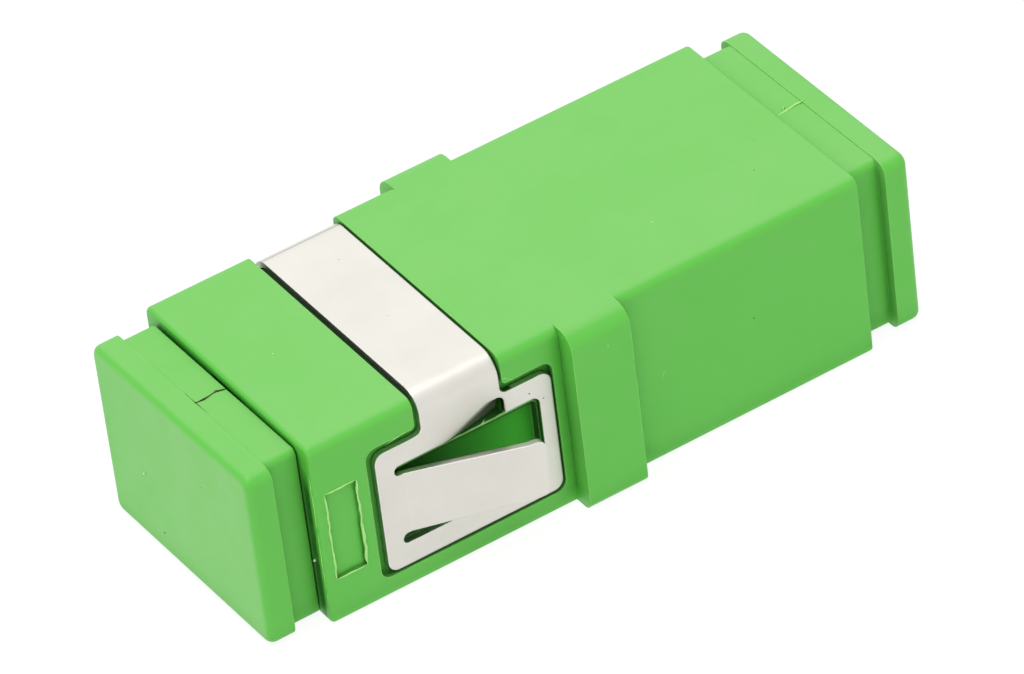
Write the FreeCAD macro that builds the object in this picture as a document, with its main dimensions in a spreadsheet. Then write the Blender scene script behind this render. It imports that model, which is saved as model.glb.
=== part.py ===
"""SC fibre adapter with a folded panel clip, two latch inserts, a split sleeve and two dust caps.

Frame: X along the optical axis, from the clip end to the flange end, with X = 0 midway
between the two mouths; Y across the width, with Y = 0 on the axis; Z up, with Z = 0 at the
wide bottom face. Millimetres. The two halves and the clip are drawn with X counted from the
clip end's mouth, and the other pieces about their own axis; each Placement puts them here.
"""
import FreeCAD, Part
import os
from math import pi
import Sketcher
from FreeCAD import Placement, Rotation, Vector

# alias, size, what it is
SIZES = [
    ("housing_length", 27.8, "mouth to mouth"),
    ("side_wall", 1.925, "housing, port to outside"),
    ("floor_wall", 0.825, "housing, under the port"),
    ("roof_wall", 1.075, "housing, over the port"),
    ("top_edge_radius", 0.45, "housing, upper edges along X"),
    ("bottom_edge_radius", 0.25, "housing, lower edges along X"),
    ("clip_mouth_radius", 0.2, "housing, outer edge of the clip end's mouth"),
    ("flange_mouth_radius", 0.12, "housing, outer edge of the flange end's mouth"),
    ("ear_length", 2.95, "along X, centred on the adapter"),
    ("ear_reach", 0.96, "out of each side"),
    ("ear_top_radius", 0.85, "outer top edge"),
    ("ear_bottom_radius", 0.5, "outer bottom edge"),
    ("port_width", 9.05, "inside"),
    ("port_height", 7.45, "inside"),
    ("port_lead_in", 0.3, "chamfer round the port's mouth"),
    ("key_slot_width", 2.4, ""),
    ("key_slot_depth", 0.6, "above the port"),
    ("key_slot_length", 4.5, "from the mouth"),
    ("insert_plate_thickness", 1.45, "along X"),
    ("seat_wall", 0.7, "housing, beside the inserts' plates"),
    ("insert_seat_clearance", 0.05, "each side of the plate, across X"),
    ("insert_corner_radius", 0.4, "plate corners"),
    ("tube_radius", 2.35, "outside"),
    ("tube_length", 6.5, "from the plates' meeting face"),
    ("tube_lip_length", 0.6, "keeps the sleeve in"),
    ("tube_lip_radius", 1.5, "hole through the lip"),
    ("tube_edge", 0.25, "chamfer at the tube's tip"),
    ("sleeve_bore_radius", 1.25, "takes a 2.5 mm ferrule"),
    ("sleeve_outer_radius", 1.6, ""),
    ("sleeve_length", 11.4, ""),
    ("sleeve_slit", 0.5, "width of the slit"),
    ("sleeve_edge", 0.12, "chamfer at each end of the bore"),
    ("sleeve_clearance", 0.08, "round the sleeve, in the tube"),
    ("arm_length", 9.5, "from the plates' meeting face"),
    ("arm_side_clearance", 0.075, "from the arm's outer face to the port's wall"),
    ("arm_thickness", 0.95, ""),
    ("arm_width", 3.4, "along Z"),
    ("hook_height", 0.35, "from the arm's inner face to the hook's crest"),
    ("hook_crest", 0.5, "length of the crest"),
    ("hook_ramp", 0.9, "length of the lead-in ramp"),
    ("hook_catch", 0.3, "run of the catch face"),
    ("arm_tip_drop", 0.45, "ramp's height above the arm's inner face, outwards"),
    ("arm_root_radius", 0.3, "at the plate"),
    ("arm_room", 0.75, "flex room outside the arm"),
    ("arm_room_side", 0.4, "room above and below the arm"),
    ("arm_room_end", 1.0, "room past the arm's tip"),
    ("sheet", 0.3, "clip thickness"),
    ("strap_left", 5.43, "X of the strap's left edge"),
    ("strap_width", 3.92, ""),
    ("strap_sink", 0.03, "strap below the housing's top"),
    ("wing_sink", 0.05, "wing inside the housing's side"),
    ("bend_radius", 0.7, "inside of the fold"),
    ("wing_left", 3.04, "X of the wing's left edge"),
    ("wing_frame", 0.66, "sheet between the window and the wing's right edge"),
    ("wing_bottom", 1.115, "Z of the wing's lower edge"),
    ("shoulder_drop", 1.95, "from the housing's top down to the shoulders"),
    ("wing_corner_radius", 0.5, ""),
    ("shoulder_radius", 0.35, "inner corner at the neck"),
    ("window_left", 3.9, "X of the slots' ends"),
    ("tip_gap", 1.065, "between the tongue's tip and the window's right edge, along X"),
    ("window_drop", 0.25, "from the optical axis down to the window's middle"),
    ("window_height", 4.16, "along Z"),
    ("window_corner_radius", 0.4, ""),
    ("slot_height", 0.53, "above and below the tongue's root"),
    ("slot_roundness", 0.48, "slot end radius over slot height"),
    ("tongue_root", 4.35, "X where the tongue lifts"),
    ("tongue_run", 5.08, "along X, from root to bend"),
    ("tongue_lift", 1.8, "out of the wing, at the bend"),
    ("tongue_tip", 0.685, "flatter end past the bend, along X"),
    ("tongue_tip_rise", 0.106, "further lift over the flatter end"),
    ("tongue_taper", 0.12, "narrowing of each edge from root to tip"),
    ("tongue_tip_radius", 0.3, "tip corners"),
    ("lip_left", 6.4, "X of the pressed-in lip's pointed end"),
    ("lip_width", 3.08, "along X"),
    ("lip_height", 0.95, "along Z, above the window"),
    ("lip_point", 0.06, "height at the pointed end"),
    ("lip_crease", 2.2, "slanting bend, from the pointed end along X"),
    ("lip_depth", 0.5, "into the housing, at its sheared end"),
    ("lip_rise", 0.02, "lower corner of the sheared end above the window"),
    ("lip_corner_radius", 0.35, "top of the shear"),
    ("lip_slit", 0.24, "between the sheared end and the wing, along X"),
    ("wing_bed_depth", 0.4, "pocket under the wing"),
    ("strap_gap_left", 0.32, "beside the strap, in its groove"),
    ("strap_gap_right", 0.13, ""),
    ("wing_gap_left", 0.42, "beside the wing, in its bed"),
    ("wing_gap_right", 0.1, ""),
    ("wing_gap_bottom", 0.135, "below the wing, in its bed"),
    ("wing_gap_top", 0.5, "above the shoulders"),
    ("strap_bed_depth", 0.35, "groove under the strap"),
    ("bed_corner_radius", 0.8, "housing corner under the fold"),
    ("bed_outline_radius", 0.5, "pocket corners"),
    ("bed_point_radius", 0.2, "housing corners between the groove and the pocket"),
    ("tongue_bed_depth", 0.9, "recess behind the tongue"),
    ("tongue_bed_radius", 0.3, ""),
    ("lip_sill", 0.3, "lip's recess below the window's top"),
    ("lip_rib", 0.1, "rib between the lip's and the tongue's recess"),
    ("panel_left", 0.5, "X of the recessed panel near the mouth"),
    ("panel_width", 1.53, ""),
    ("panel_bottom", 2.24, "Z"),
    ("panel_height", 4.58, ""),
    ("panel_depth", 0.15, ""),
    ("cap_neck_length", 1.52, "along X"),
    ("cap_neck_side_step", 0.55, "neck inside the plate, each side"),
    ("cap_neck_top_step", 0.03, "neck below the plate's top"),
    ("cap_neck_bottom_step", 0.04, ""),
    ("cap_neck_radius", 0.35, "long edges"),
    ("cap_plate_thickness", 1.25, "along X"),
    ("cap_plate_side_step", 0.325, "plate inside the housing's outline, each side"),
    ("cap_plate_top_step", 0.315, "plate below the housing's top"),
    ("cap_plate_bottom_step", 0.065, "plate above the housing's bottom"),
    ("cap_plate_corner", 0.55, "plate corners"),
    ("cap_plate_round", 0.38, "outer face edge"),
    ("cap_collar_length", 3.9, "into the port"),
    ("cap_collar_clearance", 0.1, "in the port, each side"),
    ("cap_collar_wall", 0.85, ""),
    ("cap_boss_length", 9.0, "into the port"),
    ("cap_boss_wall", 0.35, ""),
    ("cap_boss_clearance", 0.2, "round the insert's tube"),
    ("cap_core_depth", 0.6, "hollow in the neck, behind the mouth"),
    ("crack_width", 0.07, "crack in the left cap's neck"),
    ("crack_depth", 0.35, ""),
    ("cap_left_gap", 0.15, "left cap stands off its mouth"),
    ("cap_left_yaw", 0.6, "left cap's skew, degrees"),
    ("cap_right_gap", 0.06, "right cap stands off its mouth"),
    ("past", 1.0, "how far a cutting sketch runs past the solid"),
]

# alias, formula, what it is
DERIVED = [
    ("housing_width", "=port_width + 2 * side_wall", "outside, without the ears"),
    ("housing_height", "=floor_wall + port_height + roof_wall", "outside"),
    ("axis_height", "=floor_wall + port_height / 2", "optical axis above the bottom face"),
    ("insert_plate_width", "=housing_width - 2 * (seat_wall + insert_seat_clearance)", ""),
    ("insert_plate_height", "=port_height - 2 * insert_seat_clearance", ""),
    ("arm_inner", "=port_width / 2 - arm_side_clearance - arm_thickness", "axis to the arm"),
    ("hook_inner", "=arm_inner - hook_height", "axis to the hook's crest"),
    ("shoulder_height", "=housing_height - shoulder_drop", "Z of the wing's shoulders"),
    ("window_bottom", "=axis_height - window_drop - window_height / 2", "Z"),
    ("window_top", "=window_bottom + window_height", "Z"),
    ("window_right", "=tongue_root + tongue_run + tongue_tip + tip_gap", "X"),
    ("wing_right", "=window_right + wing_frame", "X"),
    ("lip_top", "=window_top + lip_height", "Z"),
    ("cap_plate_half_width", "=housing_width / 2 - cap_plate_side_step", ""),
    ("cap_plate_top", "=housing_height - cap_plate_top_step - axis_height", "above the axis"),
    ("cap_plate_bottom", "=axis_height - cap_plate_bottom_step", "below the axis"),
    ("cap_neck_half_width", "=cap_plate_half_width - cap_neck_side_step", ""),
    ("cap_neck_top", "=cap_plate_top - cap_neck_top_step", "above the axis"),
    ("cap_neck_bottom", "=cap_plate_bottom - cap_neck_bottom_step", "below the axis"),
]

# share of the neck's length from the mouth, Y of the crack's middle there in the cap's own frame
CRACK = [(0, 0.29), (0.35, 0.16), (0.72, 0.28), (1, 0.21)]

doc = FreeCAD.newDocument("sc_fibre_adapter")
sheet = doc.addObject("Spreadsheet::Sheet", "Sizes")
for row, (alias, content, note) in enumerate(SIZES + DERIVED, start=1):
    sheet.set(f"A{row}", alias)
    sheet.set(f"B{row}", str(content))
    sheet.set(f"C{row}", note)
    sheet.setAlias(f"B{row}", alias)
doc.recompute()
ALIASES = {alias for alias, content, note in SIZES + DERIVED}


def bound(formula):
    """A formula in the sheet's aliases, as a FreeCAD expression."""
    words = []
    word = ""
    for letter in formula + " ":
        if letter.isalnum() or letter == "_":
            word += letter
            continue
        words.append(f"Sizes.{word}" if word in ALIASES else word)
        words.append(letter)
        word = ""
    return "".join(words).strip()


def size_of(formula):
    """The number that a formula gives now."""
    return float(sheet.evalExpression(bound(formula)))


def make_body(name):
    body = doc.addObject("PartDesign::Body", name)
    body.Label = name
    return body


def origin_plane(body, role):
    return next(item for item in body.Origin.OriginFeatures if item.Role == role)


def make_sketch(body, name, role, offset="0"):
    """An empty sketch on one of the body's origin planes, moved along the plane's normal.

    The normals are +Z for XY_Plane, -Y for XZ_Plane and +X for YZ_Plane.
    """
    sketch = body.newObject("Sketcher::SketchObject", name)
    sketch.AttachmentSupport = [(origin_plane(body, role), "")]
    sketch.MapMode = "FlatFace"
    sketch.setExpression("AttachmentOffset.Base.z", bound(offset))
    return sketch


def add_outline(sketch, corners):
    """A closed outline of straight edges, each corner tied to two formulas."""
    points = [Vector(size_of(across), size_of(up), 0) for across, up in corners]
    first = sketch.GeometryCount
    count = len(points)
    for index, point in enumerate(points):
        sketch.addGeometry(Part.LineSegment(point, points[(index + 1) % count]), False)
    for index in range(count):
        following = first + (index + 1) % count
        sketch.addConstraint(Sketcher.Constraint("Coincident", first + index, 2, following, 1))
    for index, (across, up) in enumerate(corners):
        for kind, formula in (("DistanceX", across), ("DistanceY", up)):
            tie_size(sketch, Sketcher.Constraint(kind, -1, 1, first + index, 1, size_of(formula)), formula)


def add_round_outline(sketch, corners, radii):
    """A closed counter-clockwise outline of level and upright edges with rounded corners.

    Each edge is tied by its place and each arc by its radius. A radius of None leaves the
    corner sharp.
    """
    points = [Vector(size_of(across), size_of(up), 0) for across, up in corners]
    count = len(points)
    starts, ends, arcs = list(points), points[1:] + points[:1], {}
    for index, radius in enumerate(radii):
        if radius is None:
            continue
        before = (points[index] - points[index - 1]).normalize()
        after = (points[(index + 1) % count] - points[index]).normalize()
        reach = size_of(radius)
        ends[index - 1] = points[index] - before * reach
        starts[index] = points[index] + after * reach
        centre = points[index] - before * reach + after * reach
        convex = before.cross(after).z > 0
        first, last = (ends[index - 1], starts[index]) if convex else (starts[index], ends[index - 1])
        angles = [(spot - centre).getAngle(Vector(1, 0, 0)) for spot in (first, last)]
        signs = [1 if (spot - centre).y >= -1e-9 else -1 for spot in (first, last)]
        begin, finish = angles[0] * signs[0], angles[1] * signs[1]
        if finish <= begin:
            finish += 2 * pi
        arcs[index] = (Part.ArcOfCircle(Part.Circle(centre, Vector(0, 0, 1), reach), begin, finish), convex)
    lines = []
    for index in range(count):
        lines.append(sketch.addGeometry(Part.LineSegment(starts[index], ends[index]), False))
    for index in range(count):
        previous = lines[index - 1]
        if index not in arcs:
            sketch.addConstraint(Sketcher.Constraint("Coincident", previous, 2, lines[index], 1))
            continue
        shape, convex = arcs[index]
        arc = sketch.addGeometry(shape, False)
        opening, closing = (1, 2) if convex else (2, 1)
        sketch.addConstraint(Sketcher.Constraint("Tangent", previous, 2, arc, opening))
        sketch.addConstraint(Sketcher.Constraint("Tangent", arc, closing, lines[index], 1))
        tie_size(sketch, Sketcher.Constraint("Radius", arc, size_of(radii[index])), radii[index])
    for index, (across, up) in enumerate(corners):
        level = near(points[index].y, points[(index + 1) % count].y)
        sketch.addConstraint(Sketcher.Constraint("Horizontal" if level else "Vertical", lines[index]))
        kind, formula = ("DistanceY", up) if level else ("DistanceX", across)
        tie_size(sketch, Sketcher.Constraint(kind, -1, 1, lines[index], 1, size_of(formula)), formula)


def tie_size(sketch, constraint, formula):
    """Add a size constraint and bind it to its formula."""
    number = sketch.addConstraint(constraint)
    sketch.setExpression(f"Constraints[{number}]", bound(formula))


def rectangle(left, bottom, right, top):
    return [(left, bottom), (right, bottom), (right, top), (left, top)]


def centred(width, height, middle="0"):
    """A rectangle about the line across = 0, with its middle at the given height."""
    half = f"({height}) / 2"
    return rectangle(f"-({width}) / 2", f"({middle}) - {half}", f"({width}) / 2", f"({middle}) + {half}")


def add_circle(sketch, radius):
    """A circle about the sketch's origin."""
    number = sketch.addGeometry(Part.Circle(Vector(), Vector(0, 0, 1), size_of(radius)), False)
    sketch.addConstraint(Sketcher.Constraint("Coincident", number, 3, -1, 1))
    tie_size(sketch, Sketcher.Constraint("Radius", number, size_of(radius)), radius)


def extrude(body, kind, sketch, length, side="One side", backwards=False):
    """A PartDesign Pad or Pocket. A Pocket runs against the sketch's normal unless backwards."""
    feature = body.newObject(f"PartDesign::{kind}", f"{sketch.Name}_{kind.lower()}")
    feature.Profile = sketch
    feature.SideType = side
    feature.Reversed = backwards
    feature.setExpression("Length", bound(length))
    doc.recompute()
    return feature


def pad(body, sketch, length, side="One side", backwards=False):
    return extrude(body, "Pad", sketch, length, side, backwards)


def pocket(body, sketch, length, side="One side", backwards=False):
    before = body.Shape.Volume
    feature = extrude(body, "Pocket", sketch, length, side, backwards)
    if not feature.Shape.Volume < before:
        raise RuntimeError(f"{feature.Name} cuts nothing")
    return feature


def dress(body, kind, prop, size, wanted):
    """A PartDesign Fillet or Chamfer on the body's straight edges that pass the test `wanted`."""
    base = body.Tip
    names = []
    for number, edge in enumerate(base.Shape.Edges, start=1):
        straight = edge.Curve.TypeId == "Part::GeomLine"
        if straight and wanted(edge.tangentAt(edge.FirstParameter), middle(edge)):
            names.append(f"Edge{number}")
    if not names:
        raise RuntimeError(f"{body.Name}: no edge for a {kind} of {size}")
    feature = body.newObject(f"PartDesign::{kind}", f"{body.Name}_{kind.lower()}")
    feature.Base = (base, names)
    feature.setExpression(prop, bound(size))
    doc.recompute()
    return feature


def middle(edge):
    return edge.valueAt((edge.FirstParameter + edge.LastParameter) / 2)


def fillet(body, radius, wanted):
    return dress(body, "Fillet", "Radius", radius, wanted)


def chamfer(body, size, wanted):
    return dress(body, "Chamfer", "Size", size, wanted)


def near(first, second):
    return abs(first - second) < 1e-4


def mirror_across(body, features):
    """Repeat the features on the other side of the XZ plane."""
    twin = body.newObject("PartDesign::Mirrored", f"{body.Name}_both_sides")
    twin.Originals = features
    twin.MirrorPlane = (origin_plane(body, "XZ_Plane"), [""])
    body.Tip = twin
    doc.recompute()
    return twin


def place(body, along, up="0", turn="0"):
    """Set a body's Placement: its origin at (along, 0, up), turned about Z by `turn` degrees."""
    body.Placement = Placement(Vector(), Rotation(Vector(0, 0, 1), size_of(turn)))
    body.setExpression("Placement.Base.x", bound(along))
    body.setExpression("Placement.Base.z", bound(up))


MIDDLE = "housing_length / 2"
FROM_MOUTH = "-housing_length / 2"
WELD = "(housing_length - ear_length) / 2"
ARM_ROOM_HALF_WIDTH = "arm_inner + arm_thickness + arm_room"
STRAP_RIGHT = "strap_left + strap_width"
WING_FACE = "housing_width / 2 - wing_sink"
STRAP_TOP = "housing_height - strap_sink"
LIP_RIGHT = "lip_left + lip_width"


def cut_ports(body, name, weld, mouth, inward):
    """The inside that both halves share: port, room for the latch arms and key slot.

    `weld` and `mouth` are the X of the half's two ends. `inward` is 1 where the inside lies
    on the +X side of the mouth and -1 where it lies on the -X side.
    """
    low, high = (mouth, weld) if inward > 0 else (weld, mouth)
    port = make_sketch(body, f"{name}_port", "YZ_Plane", high)
    add_outline(port, centred("port_width", "port_height", "axis_height"))
    pocket(body, port, f"({high}) - ({low})")

    arm_end = f"{MIDDLE} - {inward} * (arm_length + arm_room_end)"
    room = make_sketch(body, f"{name}_arm_room", "YZ_Plane", weld)
    room_height = "arm_width + 2 * arm_room_side"
    add_outline(room, centred(f"2 * ({ARM_ROOM_HALF_WIDTH})", room_height, "axis_height"))
    pocket(body, room, f"{inward} * (({weld}) - ({arm_end}))", backwards=inward < 0)

    slot = make_sketch(body, f"{name}_key_slot", "YZ_Plane", mouth)
    slot_top = "axis_height + port_height / 2 + key_slot_depth"
    add_outline(slot, rectangle("-key_slot_width / 2", "axis_height", "key_slot_width / 2", slot_top))
    pocket(body, slot, "key_slot_length", backwards=inward > 0)

    mouth_x = size_of(mouth)
    port_half = size_of("port_width") / 2
    port_low = size_of("axis_height - port_height / 2")

    def on_port_mouth(direction, point):
        on_side = near(abs(point.y), port_half) and near(abs(direction.z), 1)
        on_floor = near(point.z, port_low) and near(abs(direction.y), 1)
        return near(point.x, mouth_x) and (on_side or on_floor)

    chamfer(body, "port_lead_in", on_port_mouth)


def round_outside(body, mouth, mouth_radius):
    """Round a plain block's long edges and its edge round the mouth."""
    half, middle_z = size_of("housing_width") / 2, size_of("housing_height") / 2

    def on_long_edge(above):
        return lambda way, point: (near(abs(way.x), 1) and near(abs(point.y), half)
                                   and (point.z > middle_z) == above)

    fillet(body, "top_edge_radius", on_long_edge(True))
    fillet(body, "bottom_edge_radius", on_long_edge(False))
    mouth_x = size_of(mouth)
    fillet(body, mouth_radius, lambda way, point: near(point.x, mouth_x))


def build_clip_half():
    body = make_body("housing_clip_half")
    block = make_sketch(body, "clip_half_section", "YZ_Plane")
    add_outline(block, centred("housing_width", "housing_height", "housing_height / 2"))
    pad(body, block, WELD)
    round_outside(body, "0", "clip_mouth_radius")
    cut_ports(body, "clip_half", WELD, "0", 1)

    groove = make_sketch(body, "strap_groove", "XZ_Plane")
    left = "strap_left - strap_gap_left"
    right = f"{STRAP_RIGHT} + strap_gap_right"
    floor = "housing_height - strap_bed_depth"
    add_outline(groove, rectangle(left, floor, right, "housing_height + past"))
    pocket(body, groove, "housing_width + past", "Symmetric")

    bed = make_sketch(body, "wing_bed", "XZ_Plane", "housing_width / 2")
    bed_left = "wing_left - wing_gap_left"
    bed_right = "wing_right + wing_gap_right"
    bed_bottom = "wing_bottom - wing_gap_bottom"
    bed_top = "shoulder_height + wing_gap_top"
    above = "housing_height + past"
    bend, point = "bed_outline_radius", "bed_point_radius"
    add_round_outline(bed, [
        (bed_left, bed_bottom), (bed_right, bed_bottom), (bed_right, bed_top), (right, bed_top),
        (right, above), (left, above), (left, bed_top), (bed_left, bed_top),
    ], [bend, bend, bend, point, None, None, point, bend])
    wing_bed = pocket(body, bed, "wing_bed_depth")

    recess = make_sketch(body, "tongue_bed", "XZ_Plane", "housing_width / 2")
    add_round_outline(recess, rectangle("window_left", "window_bottom", "window_right",
                                        "window_top - lip_sill - lip_rib"), ["tongue_bed_radius"] * 4)
    tongue_bed = pocket(body, recess, "tongue_bed_depth")

    lip = make_sketch(body, "lip_bed", "XZ_Plane", "housing_width / 2")
    add_outline(lip, rectangle("lip_left", "window_top - lip_sill",
                               f"{LIP_RIGHT} + lip_rib", "lip_top + lip_rib"))
    lip_bed = pocket(body, lip, "tongue_bed_depth")
    mirror_across(body, [wing_bed, tongue_bed, lip_bed])

    bed_y = size_of("housing_width / 2 - wing_bed_depth")
    floor_z = size_of(floor)

    def under_the_fold(way, point):
        return near(abs(way.x), 1) and near(abs(point.y), bed_y) and near(point.z, floor_z)

    fillet(body, "bed_corner_radius", under_the_fold)

    panel = make_sketch(body, "side_panel", "XZ_Plane", "housing_width / 2")
    add_outline(panel, rectangle("panel_left", "panel_bottom", "panel_left + panel_width",
                                 "panel_bottom + panel_height"))
    pocket(body, panel, "panel_depth")
    place(body, FROM_MOUTH)
    return body


def build_flange_half():
    body = make_body("housing_flange_half")
    block = make_sketch(body, "flange_half_section", "YZ_Plane", WELD)
    add_outline(block, centred("housing_width", "housing_height", "housing_height / 2"))
    pad(body, block, f"housing_length - ({WELD})")
    round_outside(body, "housing_length", "flange_mouth_radius")

    ears = make_sketch(body, "ears", "YZ_Plane", WELD)
    outline = centred("housing_width + 2 * ear_reach", "housing_height", "housing_height / 2")
    add_round_outline(ears, outline, ["ear_bottom_radius"] * 2 + ["ear_top_radius"] * 2)
    pad(body, ears, "ear_length")

    seat = make_sketch(body, "insert_seat", "YZ_Plane", WELD)
    add_outline(seat, centred("insert_plate_width + 2 * insert_seat_clearance",
                              "port_height", "axis_height"))
    pocket(body, seat, "ear_length / 2 + insert_plate_thickness", backwards=True)
    cut_ports(body, "flange_half", WELD, "housing_length", -1)
    place(body, FROM_MOUTH)
    return body


def build_clip():
    """One sheet: a U over the housing, cut to its outline, with a tongue and a lip on each wing."""
    body = make_body("panel_clip")
    fold = make_sketch(body, "clip_fold", "YZ_Plane", "wing_left")
    face = WING_FACE
    inner = f"{WING_FACE} - sheet"
    under = f"{STRAP_TOP} - sheet"
    add_outline(fold, [
        (f"-({face})", "wing_bottom"), (f"-({face})", STRAP_TOP), (face, STRAP_TOP), (face, "wing_bottom"),
        (inner, "wing_bottom"), (inner, under), (f"-({inner})", under), (f"-({inner})", "wing_bottom"),
    ])
    pad(body, fold, "wing_right - wing_left")
    face_y, top_z = size_of(face), size_of(STRAP_TOP)
    inner_y, under_z = size_of(inner), size_of(under)

    def on_fold(y, z):
        return lambda way, point: near(abs(way.x), 1) and near(abs(point.y), y) and near(point.z, z)

    fillet(body, "bend_radius + sheet", on_fold(face_y, top_z))
    fillet(body, "bend_radius", on_fold(inner_y, under_z))

    blank = make_sketch(body, "clip_outline", "XZ_Plane")
    above = "housing_height + past"
    add_outline(blank, rectangle("wing_left - past", "wing_bottom - past",
                                 "wing_right + past", f"{above} + past"))
    corner, shoulder = "wing_corner_radius", "shoulder_radius"
    add_round_outline(blank, [
        ("wing_left", "wing_bottom"), ("wing_right", "wing_bottom"), ("wing_right", "shoulder_height"),
        (STRAP_RIGHT, "shoulder_height"), (STRAP_RIGHT, above), ("strap_left", above),
        ("strap_left", "shoulder_height"), ("wing_left", "shoulder_height"),
    ], [corner, corner, corner, shoulder, None, None, shoulder, corner])
    pocket(body, blank, "housing_width + past", "Symmetric")

    window = make_sketch(body, "clip_window", "XZ_Plane")
    tongue_bottom = "window_bottom + slot_height"
    tongue_top = "window_top - slot_height"
    tip, inside = "slot_height * slot_roundness", "window_corner_radius"
    add_round_outline(window, [
        ("window_left", "window_bottom"), ("window_right", "window_bottom"), ("window_right", "window_top"),
        ("window_left", "window_top"), ("window_left", tongue_top), ("tongue_root", tongue_top),
        ("tongue_root", tongue_bottom), ("window_left", tongue_bottom),
    ], [tip, inside, inside, tip, tip, None, None, tip])
    pocket(body, window, "housing_width + past", "Symmetric")

    slot = make_sketch(body, "lip_cut", "XZ_Plane")
    crease_x = "lip_left + lip_crease"
    add_outline(slot, [
        ("lip_left", "window_top - slot_height / 2"), (LIP_RIGHT, "window_top - slot_height / 2"),
        (LIP_RIGHT, "lip_top"), (crease_x, "lip_top"), ("lip_left", "window_top + lip_point"),
    ])
    pocket(body, slot, "housing_width + past", "Symmetric")
    shear_x, lip_z = size_of(LIP_RIGHT), size_of("lip_top")
    fillet(body, "lip_corner_radius", lambda way, point: near(abs(way.y), 1) and near(point.x, shear_x)
           and near(point.z, lip_z))

    tongue = make_sketch(body, "tongue", "XY_Plane", tongue_bottom)
    bend_x = "tongue_root + tongue_run"
    tip_x = f"{bend_x} + tongue_tip"
    lifted = f"{face} + tongue_lift"
    highest = f"{lifted} + tongue_tip_rise"
    add_outline(tongue, [
        ("tongue_root - sheet", f"-({face})"), ("tongue_root", f"-({face})"),
        (bend_x, f"-({lifted})"), (tip_x, f"-({highest})"),
        (tip_x, f"-({highest} - sheet)"), (bend_x, f"-({lifted} - sheet)"),
        ("tongue_root", f"-({inner})"), ("tongue_root - sheet", f"-({inner})"),
    ])
    tongue_pad = pad(body, tongue, f"{tongue_top} - ({tongue_bottom})")

    lip_length = "(lip_width - lip_slit)"
    lip_ends = [
        ("pointed", "lip_left", "0", "window_top", "0", "window_top + lip_point"),
        ("crease", crease_x, f"lip_depth * lip_crease / {lip_length}", "window_top + lip_rise",
         "0", "lip_top"),
        ("sheared", f"{LIP_RIGHT} - lip_slit", "lip_depth", "window_top + lip_rise",
         f"lip_depth * (1 - lip_crease / {lip_length})", "lip_top"),
    ]
    sections = []
    for label, along, low_depth, low_z, high_depth, high_z in lip_ends:
        section = make_sketch(body, f"lip_{label}_end", "YZ_Plane", along)
        add_outline(section, [
            (f"-({face} - {low_depth})", low_z), (f"-({inner} - {low_depth})", low_z),
            (f"-({inner} - {high_depth})", high_z), (f"-({face} - {high_depth})", high_z),
        ])
        sections.append(section)
    lip = body.newObject("PartDesign::AdditiveLoft", "lip")
    lip.Profile = sections[0]
    lip.Sections = sections[1:]
    lip.Ruled = True
    doc.recompute()
    mirror_across(body, [tongue_pad, lip])

    taper = make_sketch(body, "tongue_edges", "XZ_Plane")
    for edge, sign in ((tongue_bottom, "+"), (tongue_top, "-")):
        narrowed = f"{edge} {sign} tongue_taper"
        add_outline(taper, [("tongue_root", edge), (tip_x, narrowed),
                            ("window_right", narrowed), ("window_right", edge)])
    pocket(body, taper, "2 * housing_width", "Symmetric")
    end_x = size_of(tip_x)
    fillet(body, "tongue_tip_radius", lambda way, point: near(abs(way.y), 1) and near(point.x, end_x))
    place(body, FROM_MOUTH)
    return body


def build_insert(name, turn):
    """Plate, sleeve tube and two latch arms, modelled towards +X from the plates' meeting face."""
    body = make_body(name)
    plate = make_sketch(body, f"{name}_plate", "YZ_Plane")
    add_outline(plate, centred("insert_plate_width", "insert_plate_height"))
    pad(body, plate, "insert_plate_thickness")
    fillet(body, "insert_corner_radius", lambda way, point: near(abs(way.x), 1))

    tube = make_sketch(body, f"{name}_tube", "YZ_Plane")
    add_circle(tube, "tube_radius")
    pad(body, tube, "tube_length")
    lip = make_sketch(body, f"{name}_lip", "YZ_Plane")
    add_circle(lip, "tube_lip_radius")
    pocket(body, lip, "tube_length", backwards=True)
    bore = make_sketch(body, f"{name}_bore", "YZ_Plane")
    add_circle(bore, "sleeve_outer_radius + sleeve_clearance")
    pocket(body, bore, "tube_length - tube_lip_length", backwards=True)
    tip_x = size_of("tube_length")
    round_edges(body, "Chamfer", "Size", "tube_edge", tip_x)

    arm = make_sketch(body, f"{name}_arm", "XY_Plane")
    outer = "arm_inner + arm_thickness"
    crest_end = "arm_length - hook_ramp"
    crest_start = f"{crest_end} - hook_crest"
    root = "insert_plate_thickness / 2"
    add_outline(arm, [
        (root, "arm_inner"), (f"{crest_start} - hook_catch", "arm_inner"), (crest_start, "hook_inner"),
        (crest_end, "hook_inner"), ("arm_length", "arm_inner + arm_tip_drop"),
        ("arm_length", outer), (root, outer),
    ])
    arm_pad = pad(body, arm, "arm_width", "Symmetric")
    mirror_across(body, [arm_pad])
    root_x = size_of("insert_plate_thickness")
    arm_faces = (size_of("arm_inner"), size_of(outer))
    fillet(body, "arm_root_radius", lambda way, point: near(abs(way.z), 1) and near(point.x, root_x)
           and any(near(abs(point.y), face) for face in arm_faces))
    place(body, "0", "axis_height", turn)
    return body


def round_edges(body, kind, prop, size, plane_x):
    """Dress every circular edge that lies in the plane X = plane_x."""
    base = body.Tip
    names = [f"Edge{number}" for number, edge in enumerate(base.Shape.Edges, start=1)
             if edge.Curve.TypeId == "Part::GeomCircle" and near(edge.Curve.Center.x, plane_x)]
    feature = body.newObject(f"PartDesign::{kind}", f"{body.Name}_rim_{kind.lower()}")
    feature.Base = (base, names)
    feature.setExpression(prop, bound(size))
    doc.recompute()


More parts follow.
